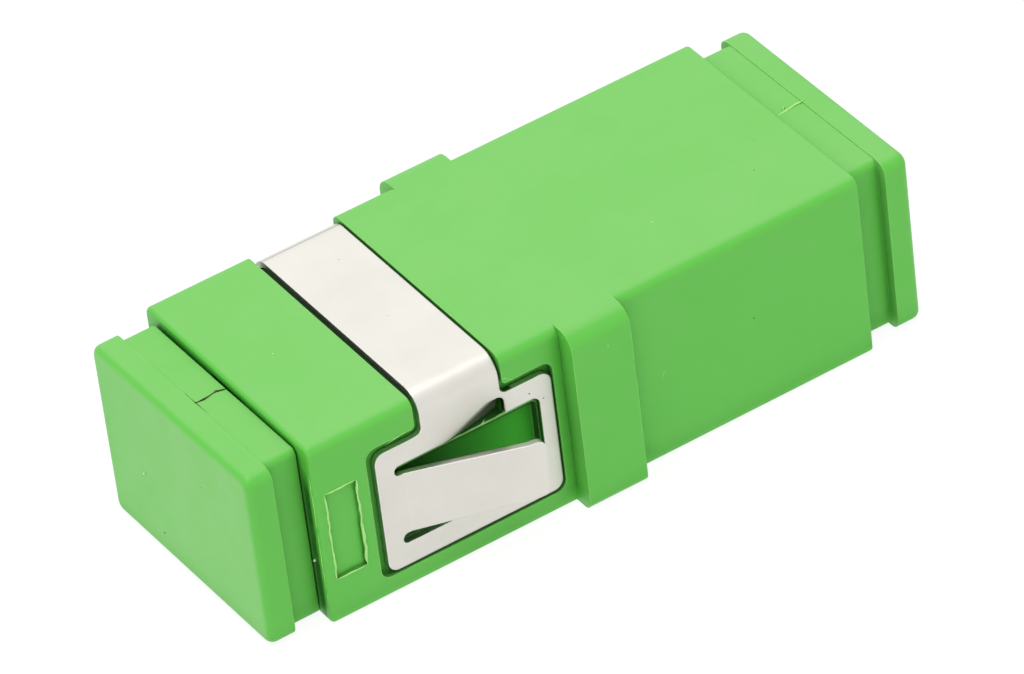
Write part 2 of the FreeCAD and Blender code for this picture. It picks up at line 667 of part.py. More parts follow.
def build_sleeve():
    body = make_body("alignment_sleeve")
    start = "-sleeve_length / 2"
    ring = make_sketch(body, "sleeve_ring", "YZ_Plane", start)
    add_circle(ring, "sleeve_outer_radius")
    pad(body, ring, "sleeve_length")
    bore = make_sketch(body, "sleeve_bore", "YZ_Plane", start)
    add_circle(bore, "sleeve_bore_radius")
    pocket(body, bore, "sleeve_length", backwards=True)
    for end in (-1, 1):
        plane_x = end * size_of("sleeve_length / 2")
        round_edges(body, "Chamfer", "Size", "sleeve_edge", plane_x)
    slit = make_sketch(body, "sleeve_slit_cut", "YZ_Plane", start)
    add_outline(slit, rectangle("-sleeve_slit / 2", "0", "sleeve_slit / 2", "sleeve_outer_radius + past"))
    pocket(body, slit, "sleeve_length", backwards=True)
    place(body, "0", "axis_height")
    return body


def build_cap(name, along, turn):
    """Plate and neck outside the port, collar and boss inside; modelled with its plate at +X."""
    body = make_body(name)
    neck = make_sketch(body, f"{name}_neck", "YZ_Plane")
    add_outline(neck, rectangle("-cap_neck_half_width", "-cap_neck_bottom",
                                "cap_neck_half_width", "cap_neck_top"))
    pad(body, neck, "cap_neck_length")
    fillet(body, "cap_neck_radius", lambda way, point: near(abs(way.x), 1))

    plate = make_sketch(body, f"{name}_plate", "YZ_Plane", "cap_neck_length")
    add_outline(plate, rectangle("-cap_plate_half_width", "-cap_plate_bottom",
                                 "cap_plate_half_width", "cap_plate_top"))
    pad(body, plate, "cap_plate_thickness")
    half_width = size_of("cap_plate_half_width")
    fillet(body, "cap_plate_corner",
           lambda way, point: near(abs(way.x), 1) and near(abs(point.y), half_width))
    face_x = size_of("cap_neck_length + cap_plate_thickness")
    fillet(body, "cap_plate_round", lambda way, point: near(point.x, face_x))

    collar = make_sketch(body, f"{name}_collar", "YZ_Plane")
    collar_width = "port_width - 2 * cap_collar_clearance"
    collar_height = "port_height - 2 * cap_collar_clearance"
    add_outline(collar, centred(collar_width, collar_height))
    pad(body, collar, "cap_collar_length", backwards=True)
    hollow = make_sketch(body, f"{name}_hollow", "YZ_Plane", "-cap_collar_length")
    add_outline(hollow, centred(f"{collar_width} - 2 * cap_collar_wall",
                                f"{collar_height} - 2 * cap_collar_wall"))
    pocket(body, hollow, "cap_collar_length + cap_core_depth", backwards=True)

    boss = make_sketch(body, f"{name}_boss", "YZ_Plane", "-cap_boss_length")
    add_circle(boss, "tube_radius + cap_boss_clearance + cap_boss_wall")
    pad(body, boss, "cap_boss_length + cap_core_depth + cap_boss_wall")
    core = make_sketch(body, f"{name}_core", "YZ_Plane", "-cap_boss_length")
    add_circle(core, "tube_radius + cap_boss_clearance")
    pocket(body, core, "cap_boss_length + cap_core_depth", backwards=True)
    place(body, along, "axis_height", turn)
    return body


def crack_neck(body):
    """Cut a jagged crack across the top of a cap's neck, from the mouth to the plate."""
    crack = make_sketch(body, "neck_crack", "XY_Plane", "cap_neck_top")
    sides = [[(f"{share} * cap_neck_length", f"{middle_y} {sign} crack_width / 2")
              for share, middle_y in CRACK] for sign in "-+"]
    add_outline(crack, sides[0] + sides[1][::-1])
    pocket(body, crack, "crack_depth")
    return body


def check_document():
    """Stop if any object failed or any sub-part's shape is empty or invalid."""
    for item in doc.Objects:
        if "Invalid" in item.State or "Error" in item.State:
            raise RuntimeError(f"{item.Name} is {item.State}")
    for body in BODIES:
        if body.Shape.isNull() or not body.Shape.isValid() or len(body.Shape.Solids) != 1:
            raise RuntimeError(f"{body.Label} is not one valid solid")


BODIES = [
    build_clip_half(),
    build_flange_half(),
    build_clip(),
    build_insert("latch_insert_left", "180"),
    build_insert("latch_insert_right", "0"),
    build_sleeve(),
    crack_neck(build_cap("dust_cap_left", f"-({MIDDLE}) - cap_left_gap", "180 + cap_left_yaw")),
    build_cap("dust_cap_right", f"{MIDDLE} + cap_right_gap", "0"),
]
doc.recompute()
check_document()

os.makedirs("parts", exist_ok=True)
for body in BODIES:
    body.Shape.exportStep(f"parts/{body.Label}.step")
    print(f"{body.Label}: {body.Shape.Volume:.2f} mm3")
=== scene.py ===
"""Looks of the SC fibre adapter: materials, moulding flash, dust, stage, lamps and camera.

Metres, in the CAD's frame: X along the optical axis with 0 midway between the two mouths, Y across
the width, Z up from the bottom face. Places on the adapter are in millimetres instead, counted along
from the clip end's mouth, across from the middle plane, out from it to either side, and up from the
bottom face.
"""
import math
import random

import bpy
from mathutils import Matrix, Vector, noise


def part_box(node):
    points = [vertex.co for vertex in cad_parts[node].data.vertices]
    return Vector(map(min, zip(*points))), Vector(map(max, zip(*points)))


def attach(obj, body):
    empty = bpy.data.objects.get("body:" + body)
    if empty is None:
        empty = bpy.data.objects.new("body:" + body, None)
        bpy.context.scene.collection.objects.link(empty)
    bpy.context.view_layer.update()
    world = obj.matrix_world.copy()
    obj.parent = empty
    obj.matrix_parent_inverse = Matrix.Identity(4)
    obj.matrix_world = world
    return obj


MM = 0.001

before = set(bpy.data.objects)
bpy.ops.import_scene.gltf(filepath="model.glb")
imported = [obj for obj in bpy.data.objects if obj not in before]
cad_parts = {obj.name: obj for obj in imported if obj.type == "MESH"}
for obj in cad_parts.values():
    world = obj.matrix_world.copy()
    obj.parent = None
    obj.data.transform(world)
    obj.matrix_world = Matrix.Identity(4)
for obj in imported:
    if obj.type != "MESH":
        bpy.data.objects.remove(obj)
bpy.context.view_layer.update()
# Without its own seed, noise_vector starts from the clock, and the threads drift differently each run.
SEED = 41
dice = random.Random(SEED)
noise.seed_set(SEED)

CLIP_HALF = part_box("housing_clip_half")
FLANGE_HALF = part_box("housing_flange_half")
CAP_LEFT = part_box("dust_cap_left")
CAP_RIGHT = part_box("dust_cap_right")
MOUTH_LEFT = CLIP_HALF[0][0]
MOUTH_RIGHT = FLANGE_HALF[1][0]


# ---------------------------------------------------------------- places on the adapter, in millimetres

LENGTH = (MOUTH_RIGHT - MOUTH_LEFT) / MM
SEAM = (CLIP_HALF[1][0] - MOUTH_LEFT) / MM
CAP_END = CAP_LEFT[0][0] / MM - MOUTH_LEFT / MM
NEAR_SIDE = CLIP_HALF[0][1] / MM
TOP = CLIP_HALF[1][2] / MM
CAP_TOP = CAP_RIGHT[1][2] / MM
NECK_TOP = CAP_TOP - 0.03
STRAP_TOP = TOP - 0.03
CLIP_FACE = -NEAR_SIDE - 0.05
CLIP_BED = -NEAR_SIDE - 0.40
TONGUE_BED = -NEAR_SIDE - 0.90
TONGUE_ROOT, TONGUE_TIP = 4.8, 11.2

# Stretches of the surface where painted shade and dark reflections begin and end, each as (from, to, fade),
# where None is an open end.
RECESS_FLOOR = {"along": (3.5, 11.9, 0.05), "out": (TONGUE_BED - 0.20, TONGUE_BED + 0.05, 0.04)}
RECESS_END = {"along": (10.8, 11.9, 0.05), "out": (TONGUE_BED + 0.07, CLIP_BED - 0.03, 0.02)}
RECESS_HEIGHT = {"up": (1.0, 7.3, 0.1)}
BEHIND_LIP = {"up": (5.5, 7.4, 0.1)}
BESIDE_STRAP = {"along": (5.05, 5.50, 0.03), "out": (None, 5.5, 0.6), "up": (8.8, 9.27, 0.04)}
MOUTH_SIDES = {"along": (None, 0.03, 0.06), "out": (5.72, 6.03, 0.08), "up": (0.8, 6.9, 1.3)}
OVER_NECK = {"along": (None, 0.05, 0.35), "up": (8.9, None, 0.4)}
NEAR_FLOOR = {"up": (None, 0.3, 0.8)}
STRAP_CREASE = {"across": (5.66, 5.70, 0.04), "up": (8.7, 9.5, 0.1)}
FAR_BEND = {"across": (6.15, 6.50, 0.15), "up": (8.7, 9.5, 0.1)}
PRESSED_IN = (None, CLIP_FACE - 0.15, 0.13)
LIP = {"along": (6.6, 9.9, 0.1), "out": PRESSED_IN, "up": (5.9, 7.4, 0.1)}
WINDOW_END = {"along": (11.15, 11.60, 0.05), "out": PRESSED_IN, "up": (2.5, 6.4, 0.1)}


# ---------------------------------------------------------------- colours

def rgb(red, green, blue):
    return (red, green, blue, 1.0)


WHITE = rgb(1, 1, 1)
PAPER, SEEN_PAPER = rgb(0.95, 0.95, 0.95), rgb(0.16, 0.16, 0.16)
GREEN, DEEP_GREEN = rgb(0.130, 0.605, 0.068), rgb(0.118, 0.585, 0.060)
DULL_GREEN, DEEP_DULL_GREEN = rgb(0.120, 0.57, 0.063), rgb(0.105, 0.54, 0.055)
# Painted sheen: a pale tint on faces that look up and on the caps' ends, standing in for their glossy
# reflection.
PAINTED_SHEEN = rgb(0.200, 0.625, 0.122)
# Painted highlight on sharp plastic edges.
EDGE_HIGHLIGHT = rgb(0.36, 1.0, 0.20)
# Painted shade in crevices, thinner over the cap's neck, and on the sides of the mouth.
CREVICE_SHADE, THIN_CREVICE_SHADE, MOUTH_SHADE = rgb(0.008, 0.150, 0.003), rgb(0.002, 0.330, 0.001), rgb(0.004, 0.040, 0.002)
# Painted shade in the recesses behind the tongues and beside the strap.
ROOT_SHADE, TIP_SHADE = rgb(0.005, 0.095, 0.002), rgb(0.065, 0.600, 0.035)
DEEP_SHADE, LIP_SHADE = rgb(0.003, 0.030, 0.001), rgb(0.040, 0.055, 0.025)
SHEET, PALE_SHEET = rgb(0.715, 0.698, 0.640), rgb(0.755, 0.738, 0.680)
# Painted shade on the steel's bends, and painted shade and dark reflection on its lip and window end.
SHEET_BEND_SHADE, SHEET_DENT_SHADE = rgb(0.22, 0.21, 0.21), rgb(0.085, 0.095, 0.060)
# Painted shade in the steel's crevices, and a painted highlight on its sharp edges.
SHEET_CREVICE_SHADE, SHEET_EDGE_HIGHLIGHT = rgb(0.10, 0.11, 0.08), rgb(0.97, 0.96, 0.93)
BONE, PALE_BONE = rgb(0.86, 0.85, 0.80), rgb(0.90, 0.89, 0.85)


# ---------------------------------------------------------------- camera

CAMERA_AZIMUTH = math.radians(-29.026)
CAMERA_ELEVATION = math.radians(38.285)
CAMERA_ROLL = math.radians(-7.407)
CAMERA_DISTANCE = 343.67 * MM
CAMERA_LENS = 288.57
CAMERA_TARGET = Vector((-2.293, -3.967, 7.816)) * MM
CAMERA_CLIP_START = 0.02


def add_camera():
    azimuth, elevation = CAMERA_AZIMUTH, CAMERA_ELEVATION
    back = Vector((math.sin(azimuth) * math.cos(elevation), -math.cos(azimuth) * math.cos(elevation),
                   math.sin(elevation)))
    level = Vector((0, 0, 1)).cross(back).normalized()
    upright = back.cross(level)
    right = math.cos(CAMERA_ROLL) * level + math.sin(CAMERA_ROLL) * upright
    up = -math.sin(CAMERA_ROLL) * level + math.cos(CAMERA_ROLL) * upright
    data = bpy.data.cameras.new("camera")
    data.lens = CAMERA_LENS
    data.clip_start = CAMERA_CLIP_START
    camera = bpy.data.objects.new("camera", data)
    bpy.context.collection.objects.link(camera)
    turn = Matrix((right, up, back)).transposed().to_4x4()
    camera.matrix_world = Matrix.Translation(CAMERA_TARGET + back * CAMERA_DISTANCE) @ turn
    bpy.context.scene.camera = camera


add_camera()


# ---------------------------------------------------------------- node helpers

# Millimetres beside the housing's joint, and out from the middle plane, where its edges stay crisp.
SEAM_HALF_WIDTH = 0.12
SEAM_OUT = 6.2
# How straight a face looks up or along the axis where the painted sheen begins and where it is full.
FACING = {"low": 0.82, "high": 0.99}
# How alike the rounded normal and the face's own are where an edge's painted highlight begins and where it is
# full.
TURNED = {"low": 0.99, "high": 0.90}
RELIEF = 0.12
# From the middle plane to FAR_ACROSS millimetres the painted sheen on the ends thins out to the share below.
FAR_ACROSS = 5.5
FAR_SHEEN = 0.62


class Nodes:
    """The node tree of a material or a world, with short calls to add and join nodes."""

    def __init__(self, owner):
        self.owner = owner
        owner.use_nodes = True
        self.tree = owner.node_tree
        self.tree.nodes.clear()

    def add(self, kind, values=(), **settings):
        """A new node; values are its inputs, each a socket to link or a plain value."""
        node = self.tree.nodes.new(kind)
        for key, value in settings.items():
            setattr(node, key, value)
        for key, value in dict(values).items():
            if isinstance(value, bpy.types.NodeSocket):
                self.tree.links.new(value, node.inputs[key])
            else:
                node.inputs[key].default_value = value
        return node

    def math(self, operation, first, second=0.0):
        return self.add("ShaderNodeMath", {0: first, 1: second}, operation=operation).outputs[0]

    def times(self, first, *others):
        """The product of numbers or sockets."""
        product = first
        for other in others:
            product = self.math("MULTIPLY", product, other)
        return product

    def most(self, first, second):
        return self.math("MAXIMUM", first, second)

    def mix(self, share, first, second):
        """The first colour where share is 0, the second where it is 1."""
        node = self.add("ShaderNodeMix", {"Factor": share, 6: first, 7: second}, data_type="RGBA")
        return node.outputs[2]

    def span(self, value, low, high, out_low=0.0, out_high=1.0):
        """From out_low where value is low to out_high where it is high, and held beyond them."""
        values = {"Value": value, "From Min": low, "From Max": high, "To Min": out_low, "To Max": out_high}
        return self.add("ShaderNodeMapRange", values).outputs[0]

    def spots(self, scale, detail=2.0, roughness=0.5, stretch=(1, 1, 1)):
        """Noise from 0 to 1 in the piece's own coordinates; scale in repeats per millimetre."""
        place = self.add("ShaderNodeTexCoord").outputs["Object"]
        sized = self.add("ShaderNodeMapping", {"Vector": place, "Scale": [s / MM for s in stretch]})
        values = {"Vector": sized.outputs[0], "Scale": scale, "Detail": detail, "Roughness": roughness}
        return self.add("ShaderNodeTexNoise", values).outputs[0]

    def split(self, output):
        """The X, Y and Z of one of the surface's own vectors, such as its position or normal."""
        vector = self.add("ShaderNodeNewGeometry").outputs[output]
        return self.add("ShaderNodeSeparateXYZ", {0: vector}).outputs

    def place(self):
        """Where the surface is, in metres, by the names that the stretches use."""
        x, across, up = self.split("Position")
        return {"along": self.math("SUBTRACT", x, MOUTH_LEFT), "across": across,
                "out": self.math("ABSOLUTE", across), "up": up}

    def between(self, value, low, high, fade):
        """1 from low to high and 0 beyond them by fade, in millimetres; None is an open end."""
        share = 1.0
        if low is not None:
            share = self.span(value, (low - fade) * MM, low * MM)
        if high is not None:
            share = self.times(share, self.span(value, high * MM, (high + fade) * MM, 1.0, 0.0))
        return share

    def zone(self, stretches):
        """1 inside all of the given stretches of the surface, 0 outside any of them."""
        place = self.place()
        return self.times(1.0, *(self.between(place[way], *ends) for way, ends in stretches.items()))

    def crevice(self, reach, dark, clear):
        """0 deep in a gap narrower than about reach millimetres, 1 on open faces and just above the floor."""
        open_share = self.add("ShaderNodeAmbientOcclusion", {"Distance": reach * MM}, samples=3).outputs["AO"]
        return self.most(self.span(open_share, dark, clear), self.zone(NEAR_FLOOR))

    def off_seam(self):
        """0 on the top and bottom beside the joint of the housing's halves, 1 elsewhere."""
        place = self.place()
        away = self.math("ABSOLUTE", self.math("SUBTRACT", place["along"], SEAM * MM))
        far = self.math("GREATER_THAN", away, SEAM_HALF_WIDTH * MM)
        return self.most(far, self.math("GREATER_THAN", place["out"], SEAM_OUT * MM))

    def sheen_share(self, ends):
        """How much pale sheen is painted: on faces that look up and, where ends is true, along the axis.

        On those ends it thins out from the middle plane to the far side.
        """
        along, _, up = self.split("Normal")
        top = self.span(up, **FACING)
        if not ends:
            return top
        facing = self.span(self.math("ABSOLUTE", along), **FACING)
        thick = self.span(self.place()["across"], FAR_ACROSS * MM, 0.0, FAR_SHEEN, 1.0)
        return self.most(top, self.times(facing, thick))

    def rounded(self, radius):
        """The surface's normal with its sharp edges rounded to a radius in metres."""
        return self.add("ShaderNodeBevel", {"Radius": radius}, samples=4).outputs[0]

    def sharp(self, soft):
        """1 beside a sharp edge, where the rounded normal turns away from the face's own."""
        normal = self.add("ShaderNodeNewGeometry").outputs["Normal"]
        alike = self.add("ShaderNodeVectorMath", {0: soft, 1: normal}, operation="DOT_PRODUCT")
        return self.span(alike.outputs["Value"], **TURNED)

    def bump(self, height, depth, soft):
        """The rounded normal with fine relief on it, depth millimetres deep."""
        values = {"Strength": RELIEF, "Distance": depth * MM, "Height": height, "Normal": soft}
        return self.add("ShaderNodeBump", values).outputs[0]

    def shade(self, **sockets):
        """The Principled surface; keys are its socket names with _ for spaces."""
        values = {key.replace("_", " "): value for key, value in sockets.items()}
        surface = self.add("ShaderNodeBsdfPrincipled", values)
        self.add("ShaderNodeOutputMaterial", {"Surface": surface.outputs[0]})
        return self.owner


def new_material(name):
    return Nodes(bpy.data.materials.new(name))


# ---------------------------------------------------------------- materials

NYLON_IOR, ZIRCONIA_IOR = 1.5, 2.1
CREVICE_ROUGH = 0.95


def recess_shade(nodes):
    """Painted shade in the recess behind each tongue of the clip: its share, and its colour.

    It is darkest at the tongue's root and on the end wall, and olive behind the pressed lip.
    """
    end = nodes.zone(RECESS_END)
    here = nodes.times(nodes.most(nodes.zone(RECESS_FLOOR), end), nodes.zone(RECESS_HEIGHT), 0.95)
    to_tip = nodes.span(nodes.place()["along"], TONGUE_ROOT * MM, TONGUE_TIP * MM)
    colour = nodes.mix(end, nodes.mix(to_tip, ROOT_SHADE, TIP_SHADE), DEEP_SHADE)
    return here, nodes.mix(nodes.zone(BEHIND_LIP), colour, LIP_SHADE)


def mouth_shade(nodes):
    """Patchy painted shade on the sides of the clip end's mouth, in a band round the dust cap's neck."""
    return nodes.times(nodes.zone(MOUTH_SIDES), nodes.span(nodes.spots(1.3), 0.30, 0.50, 0.7, 0.9))


def plastic(name, colour, deep, rough, edge, housing=False, ends=False):
    """Satin moulded nylon: flow mottle, fine grain, a painted pale sheen on the top, painted shade in gaps
    and painted highlights on sharp edges.

    edge is the radius of its edges in millimetres. The housing also has painted shade in the recesses behind
    the clip's tongues, on the sides of its mouth and in the strap groove, and crisp edges at the joint of its
    halves. ends puts the painted sheen on the outer ends too.
    """
    nodes = new_material(name)
    cloud = nodes.span(nodes.spots(0.28, detail=3.0, roughness=0.6), 0.35, 0.65)
    grain = nodes.spots(7.0, detail=3.0, roughness=0.6)
    tint = nodes.mix(nodes.times(cloud, 0.5), colour, deep)
    # Painted sheen on faces that look up, and on the ends where asked, patchy with the cloud.
    tint = nodes.mix(nodes.times(nodes.sheen_share(ends), nodes.span(cloud, 0.0, 1.0, 1.0, 0.75)), tint, PAINTED_SHEEN)
    radius, recess_shaded, crevice_colour = edge * MM, 0.0, CREVICE_SHADE
    if housing:
        radius = nodes.times(nodes.off_seam(), radius)
        # Painted shade in the recesses behind the clip's tongues: its share, and its dark colour.
        recess_shaded, dirt = recess_shade(nodes)
        tint = nodes.mix(recess_shaded, tint, dirt)
        # Painted shade on the sides of the mouth, in the gap round the cap's neck.
        tint = nodes.mix(mouth_shade(nodes), tint, MOUTH_SHADE)
        # Painted crevice shade, thinner in the gap over the dust cap's neck.
        crevice_colour = nodes.mix(nodes.zone(OVER_NECK), CREVICE_SHADE, THIN_CREVICE_SHADE)
    soft = nodes.rounded(radius)
    gap = nodes.crevice(reach=1.3, dark=0.28, clear=0.70)
    patchy = nodes.span(nodes.spots(0.9), 0.40, 0.60, 0.6, 1.0)
    # Painted highlight on sharp edges, patchy and kept out of deep gaps.
    tint = nodes.mix(nodes.times(nodes.sharp(soft), patchy, nodes.span(gap, 0.0, 0.5)), tint, EDGE_HIGHLIGHT)
    # Painted shade in crevices, by how open the surface is.
    tint = nodes.mix(gap, crevice_colour, tint)
    if housing:
        # Painted shade in the groove beside the strap's left edge.
        tint = nodes.mix(nodes.zone(BESIDE_STRAP), tint, DEEP_SHADE)
    satin = nodes.span(nodes.spots(0.6, detail=4.0, roughness=0.65), 0.3, 0.7, rough - 0.05, rough + 0.06)
    # Rough where crevice or recess shade is painted, satin elsewhere.
    unshaded = nodes.math("SUBTRACT", gap, recess_shaded)
    roughness = nodes.add("ShaderNodeMix", {"Factor": unshaded, 2: CREVICE_ROUGH, 3: satin}).outputs[0]
    relief = nodes.bump(grain, 0.01, soft)
    return nodes.shade(Base_Color=tint, Roughness=roughness, IOR=NYLON_IOR, Normal=relief)


def steel(name):
    """Rolled stainless sheet: pale and warm, with faint rolling lines, painted shade in its bends, lip and
    crevices, and painted highlights on its punched edges.
    """
    nodes = new_material(name)
    rolled = nodes.spots(1.0, detail=4.0, roughness=0.7, stretch=(0.7, 9.0, 9.0))
    cloud = nodes.spots(0.35, detail=3.0, roughness=0.6)
    tint = nodes.mix(nodes.span(cloud, 0.3, 0.7), SHEET, PALE_SHEET)
    # Painted shade along the strap's crease and far bend.
    bend_shaded = nodes.most(nodes.times(nodes.zone(STRAP_CREASE), 0.55), nodes.times(nodes.zone(FAR_BEND), 0.60))
    tint = nodes.mix(bend_shaded, tint, SHEET_BEND_SHADE)
    # Painted shade and dark reflection on the pressed-in lip and the window's right end.
    tint = nodes.mix(nodes.most(nodes.zone(LIP), nodes.zone(WINDOW_END)), tint, SHEET_DENT_SHADE)
    soft = nodes.rounded(0.08 * MM)
    # Painted shade in the steel's crevices.
    tint = nodes.mix(nodes.crevice(reach=0.35, dark=0.15, clear=0.50), SHEET_CREVICE_SHADE, tint)
    # Painted highlight on the sheet's sharp edges.
    tint = nodes.mix(nodes.times(nodes.sharp(soft), 0.85), tint, SHEET_EDGE_HIGHLIGHT)
    satin = nodes.span(nodes.spots(0.9, detail=5.0, roughness=0.7), 0.3, 0.7, 0.33, 0.42)
    lines = nodes.bump(rolled, 0.004, soft)
    return nodes.shade(Base_Color=tint, Metallic=1.0, Roughness=satin, Normal=lines)


def ceramic(name):
    """Polished zirconia, bone white."""
    nodes = new_material(name)
    tint = nodes.mix(nodes.span(nodes.spots(0.8), 0.35, 0.65), BONE, PALE_BONE)
    return nodes.shade(Base_Color=tint, Roughness=0.12, IOR=ZIRCONIA_IOR, Normal=nodes.rounded(0.04 * MM))


def dull(name, colour, other, rough=0.8):
    """Flash, dust and dirt: two tones in small spots."""
    nodes = new_material(name)
    tint = nodes.mix(nodes.span(nodes.spots(9.0), 0.35, 0.65), colour, other)
    return nodes.shade(Base_Color=tint, Roughness=rough)


HOUSING_GREEN = plastic("housing_green", GREEN, DEEP_GREEN, rough=0.40, edge=0.08, housing=True)
CAP_GREEN = plastic("cap_green", GREEN, DEEP_GREEN, rough=0.42, edge=0.08, ends=True)
INSERT_GREEN = plastic("insert_green", DULL_GREEN, DEEP_DULL_GREEN, rough=0.50, edge=0.05)
STEEL = steel("spring_steel")
CERAMIC = ceramic("zirconia")
FLASH_GREEN = dull("flash_green", rgb(0.52, 0.95, 0.30), rgb(0.42, 0.88, 0.24), rough=0.45)
PALE_DUST = dull("pale_dust", rgb(0.80, 0.90, 0.70), rgb(0.70, 0.85, 0.60))
CRACK_DIRT = dull("crack_dirt", rgb(0.110, 0.085, 0.015), rgb(0.050, 0.060, 0.010))
DARK_DUST = dull("dark_dust", rgb(0.13, 0.27, 0.09), rgb(0.08, 0.18, 0.06))

LOOKS = {
    "housing_clip_half": HOUSING_GREEN, "housing_flange_half": HOUSING_GREEN,
    "dust_cap_left": CAP_GREEN, "dust_cap_right": CAP_GREEN,
    "latch_insert_left": INSERT_GREEN, "latch_insert_right": INSERT_GREEN,
    "panel_clip": STEEL, "alignment_sleeve": CERAMIC,
}
for name, material in LOOKS.items():
    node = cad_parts[name]
    node.data.materials.clear()
    node.data.materials.append(material)


# ---------------------------------------------------------------- stage and lamps

AMBIENT = 0.62
FLOOR_GLOW = 0.9
FLOOR_HALF = 3.0
LAMP_AIM = Vector((0, 0, 0.004))
# Each lamp's place and diameter in metres, and its power in watts.
LAMPS = {
    "key": ((-0.06, -0.03, 0.45), 0.30, 0.80),
    "back": ((0.19, 0.343, 0.31), 0.40, 0.09),
    "left": ((-0.40, -0.06, 0.17), 0.25, 0.12),
}


def seen(nodes):
    """1 where the surface is looked at, also in a reflection or through glass, 0 where it only lights."""
    path = nodes.add("ShaderNodeLightPath").outputs
    return nodes.most(nodes.most(path["Is Camera Ray"], path["Is Glossy Ray"]), path["Is Transmission Ray"])


def paper():
    """A plain surface that shows near white to the camera and in reflections, and keeps shadows."""
    nodes = new_material("paper")
    plain = nodes.add("ShaderNodeBsdfDiffuse", {"Color": PAPER}).outputs[0]
    light = nodes.add("ShaderNodeEmission", {"Color": WHITE, "Strength": FLOOR_GLOW}).outputs[0]
    dim = nodes.add("ShaderNodeBsdfDiffuse", {"Color": SEEN_PAPER}).outputs[0]
    lit = nodes.add("ShaderNodeAddShader", {0: light, 1: dim}).outputs[0]
    surface = nodes.add("ShaderNodeMixShader", {0: seen(nodes), 1: plain, 2: lit}).outputs[0]
    nodes.add("ShaderNodeOutputMaterial", {"Surface": surface})
    return nodes.owner


def add_mesh(name, points, faces, material):
    mesh = bpy.data.meshes.new(name)
    mesh.from_pydata([tuple(point) for point in points], [], faces)
    mesh.materials.append(material)
    mesh.update()
    piece = bpy.data.objects.new(name, mesh)
    bpy.context.collection.objects.link(piece)
    return piece


def add_floor():
    half = FLOOR_HALF
    corners = [(-half, -half, 0), (half, -half, 0), (half, half, 0), (-half, half, 0)]
    floor = add_mesh("floor", corners, [(0, 1, 2, 3)], paper())


def add_lamp(name, place, diameter, power):
    data = bpy.data.lights.new(name, "AREA")
    data.shape = "DISK"
    data.size = diameter
    data.energy = power
    lamp = bpy.data.objects.new(name, data)
    bpy.context.collection.objects.link(lamp)
    place = Vector(place)
    turn = (LAMP_AIM - place).to_track_quat("-Z", "Y").to_matrix().to_4x4()
    lamp.matrix_world = Matrix.Translation(place) @ turn


def add_world():
    """A white surrounding that lights less than it shows."""
    world = bpy.data.worlds.new("studio")
    bpy.context.scene.world = world
    nodes = Nodes(world)
    ambient = nodes.add("ShaderNodeBackground", {"Color": WHITE, "Strength": AMBIENT}).outputs[0]
    white = nodes.add("ShaderNodeBackground", {"Color": WHITE, "Strength": 1.0}).outputs[0]
    surface = nodes.add("ShaderNodeMixShader", {0: seen(nodes), 1: ambient, 2: white}).outputs[0]
    nodes.add("ShaderNodeOutputWorld", {"Surface": surface})


add_world()
add_floor()
for name, (place, diameter, power) in LAMPS.items():
    add_lamp(name, place, diameter, power)
bpy.context.scene.view_settings.view_transform = "Standard"


# ---------------------------------------------------------------- threads of flash and grains of dust

# The body that a small piece rides on, and a slot's name.
HOUSING = ("adapter", "housing_green")
LEFT_CAP = ("cap_left", "cap_green")
RIGHT_CAP = ("cap_right", "cap_green")
THREAD_SIDES = 6
# Millimetres between a thread's points, and noise repeats from one point to the next.
THREAD_STEP = 0.16
DRIFT_RATE, SWELL_RATE = 0.37, 0.45
GRAIN_RINGS, GRAIN_SIDES = 4, 7


def add_detail(name, points, faces, material, body, slot_name):
    """A small smooth piece on a body; slot_name is not used."""
    piece = add_mesh(name, points, faces, material)
    for face in piece.data.polygons:
        face.use_smooth = True
    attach(piece, body)


def spot(along, across, up):
    """A place on the adapter, given in millimetres, as a place in the scene."""
    return Vector((MOUTH_LEFT + along * MM, across * MM, up * MM))


def places_from(start, offsets):
    """Places in the scene from millimetres, each counted from the same start."""
    return [spot(*(base + offset for base, offset in zip(start, place))) for place in offsets]


def wander(start, end, steps, drift, seed):
    """Points from start to end that drift smoothly to all sides by up to about drift."""
    path = []
    for step in range(steps + 1):
        share = step / steps
        push = noise.noise_vector(Vector((seed, share * steps * DRIFT_RATE, 0.5)))
        path.append(start.lerp(end, share) + push * drift)
    return path


def tube(spine, widths):
    """Points and faces of a closed thread along the spine's points; widths are its radii there."""
    points, faces = [], []
    last = len(spine) - 1
    for index, (centre, width) in enumerate(zip(spine, widths)):
        way = (spine[min(index + 1, last)] - spine[max(index - 1, 0)]).normalized()
        across = way.cross(Vector((0, 0, 1)))
        across = across.normalized() if across.length > 0.2 else way.cross(Vector((0, 1, 0))).normalized()
        lift = across.cross(way).normalized()
        for side in range(THREAD_SIDES):
            angle = 2 * math.pi * side / THREAD_SIDES
            points.append(centre + across * math.cos(angle) * width + lift * math.sin(angle) * width)
    for index in range(last):
        for side in range(THREAD_SIDES):
            first = index * THREAD_SIDES + side
            second = index * THREAD_SIDES + (side + 1) % THREAD_SIDES
            faces.append((first, second, second + THREAD_SIDES, first + THREAD_SIDES))
    faces.append(tuple(range(THREAD_SIDES))[::-1])
    faces.append(tuple(last * THREAD_SIDES + side for side in range(THREAD_SIDES)))
    return points, faces


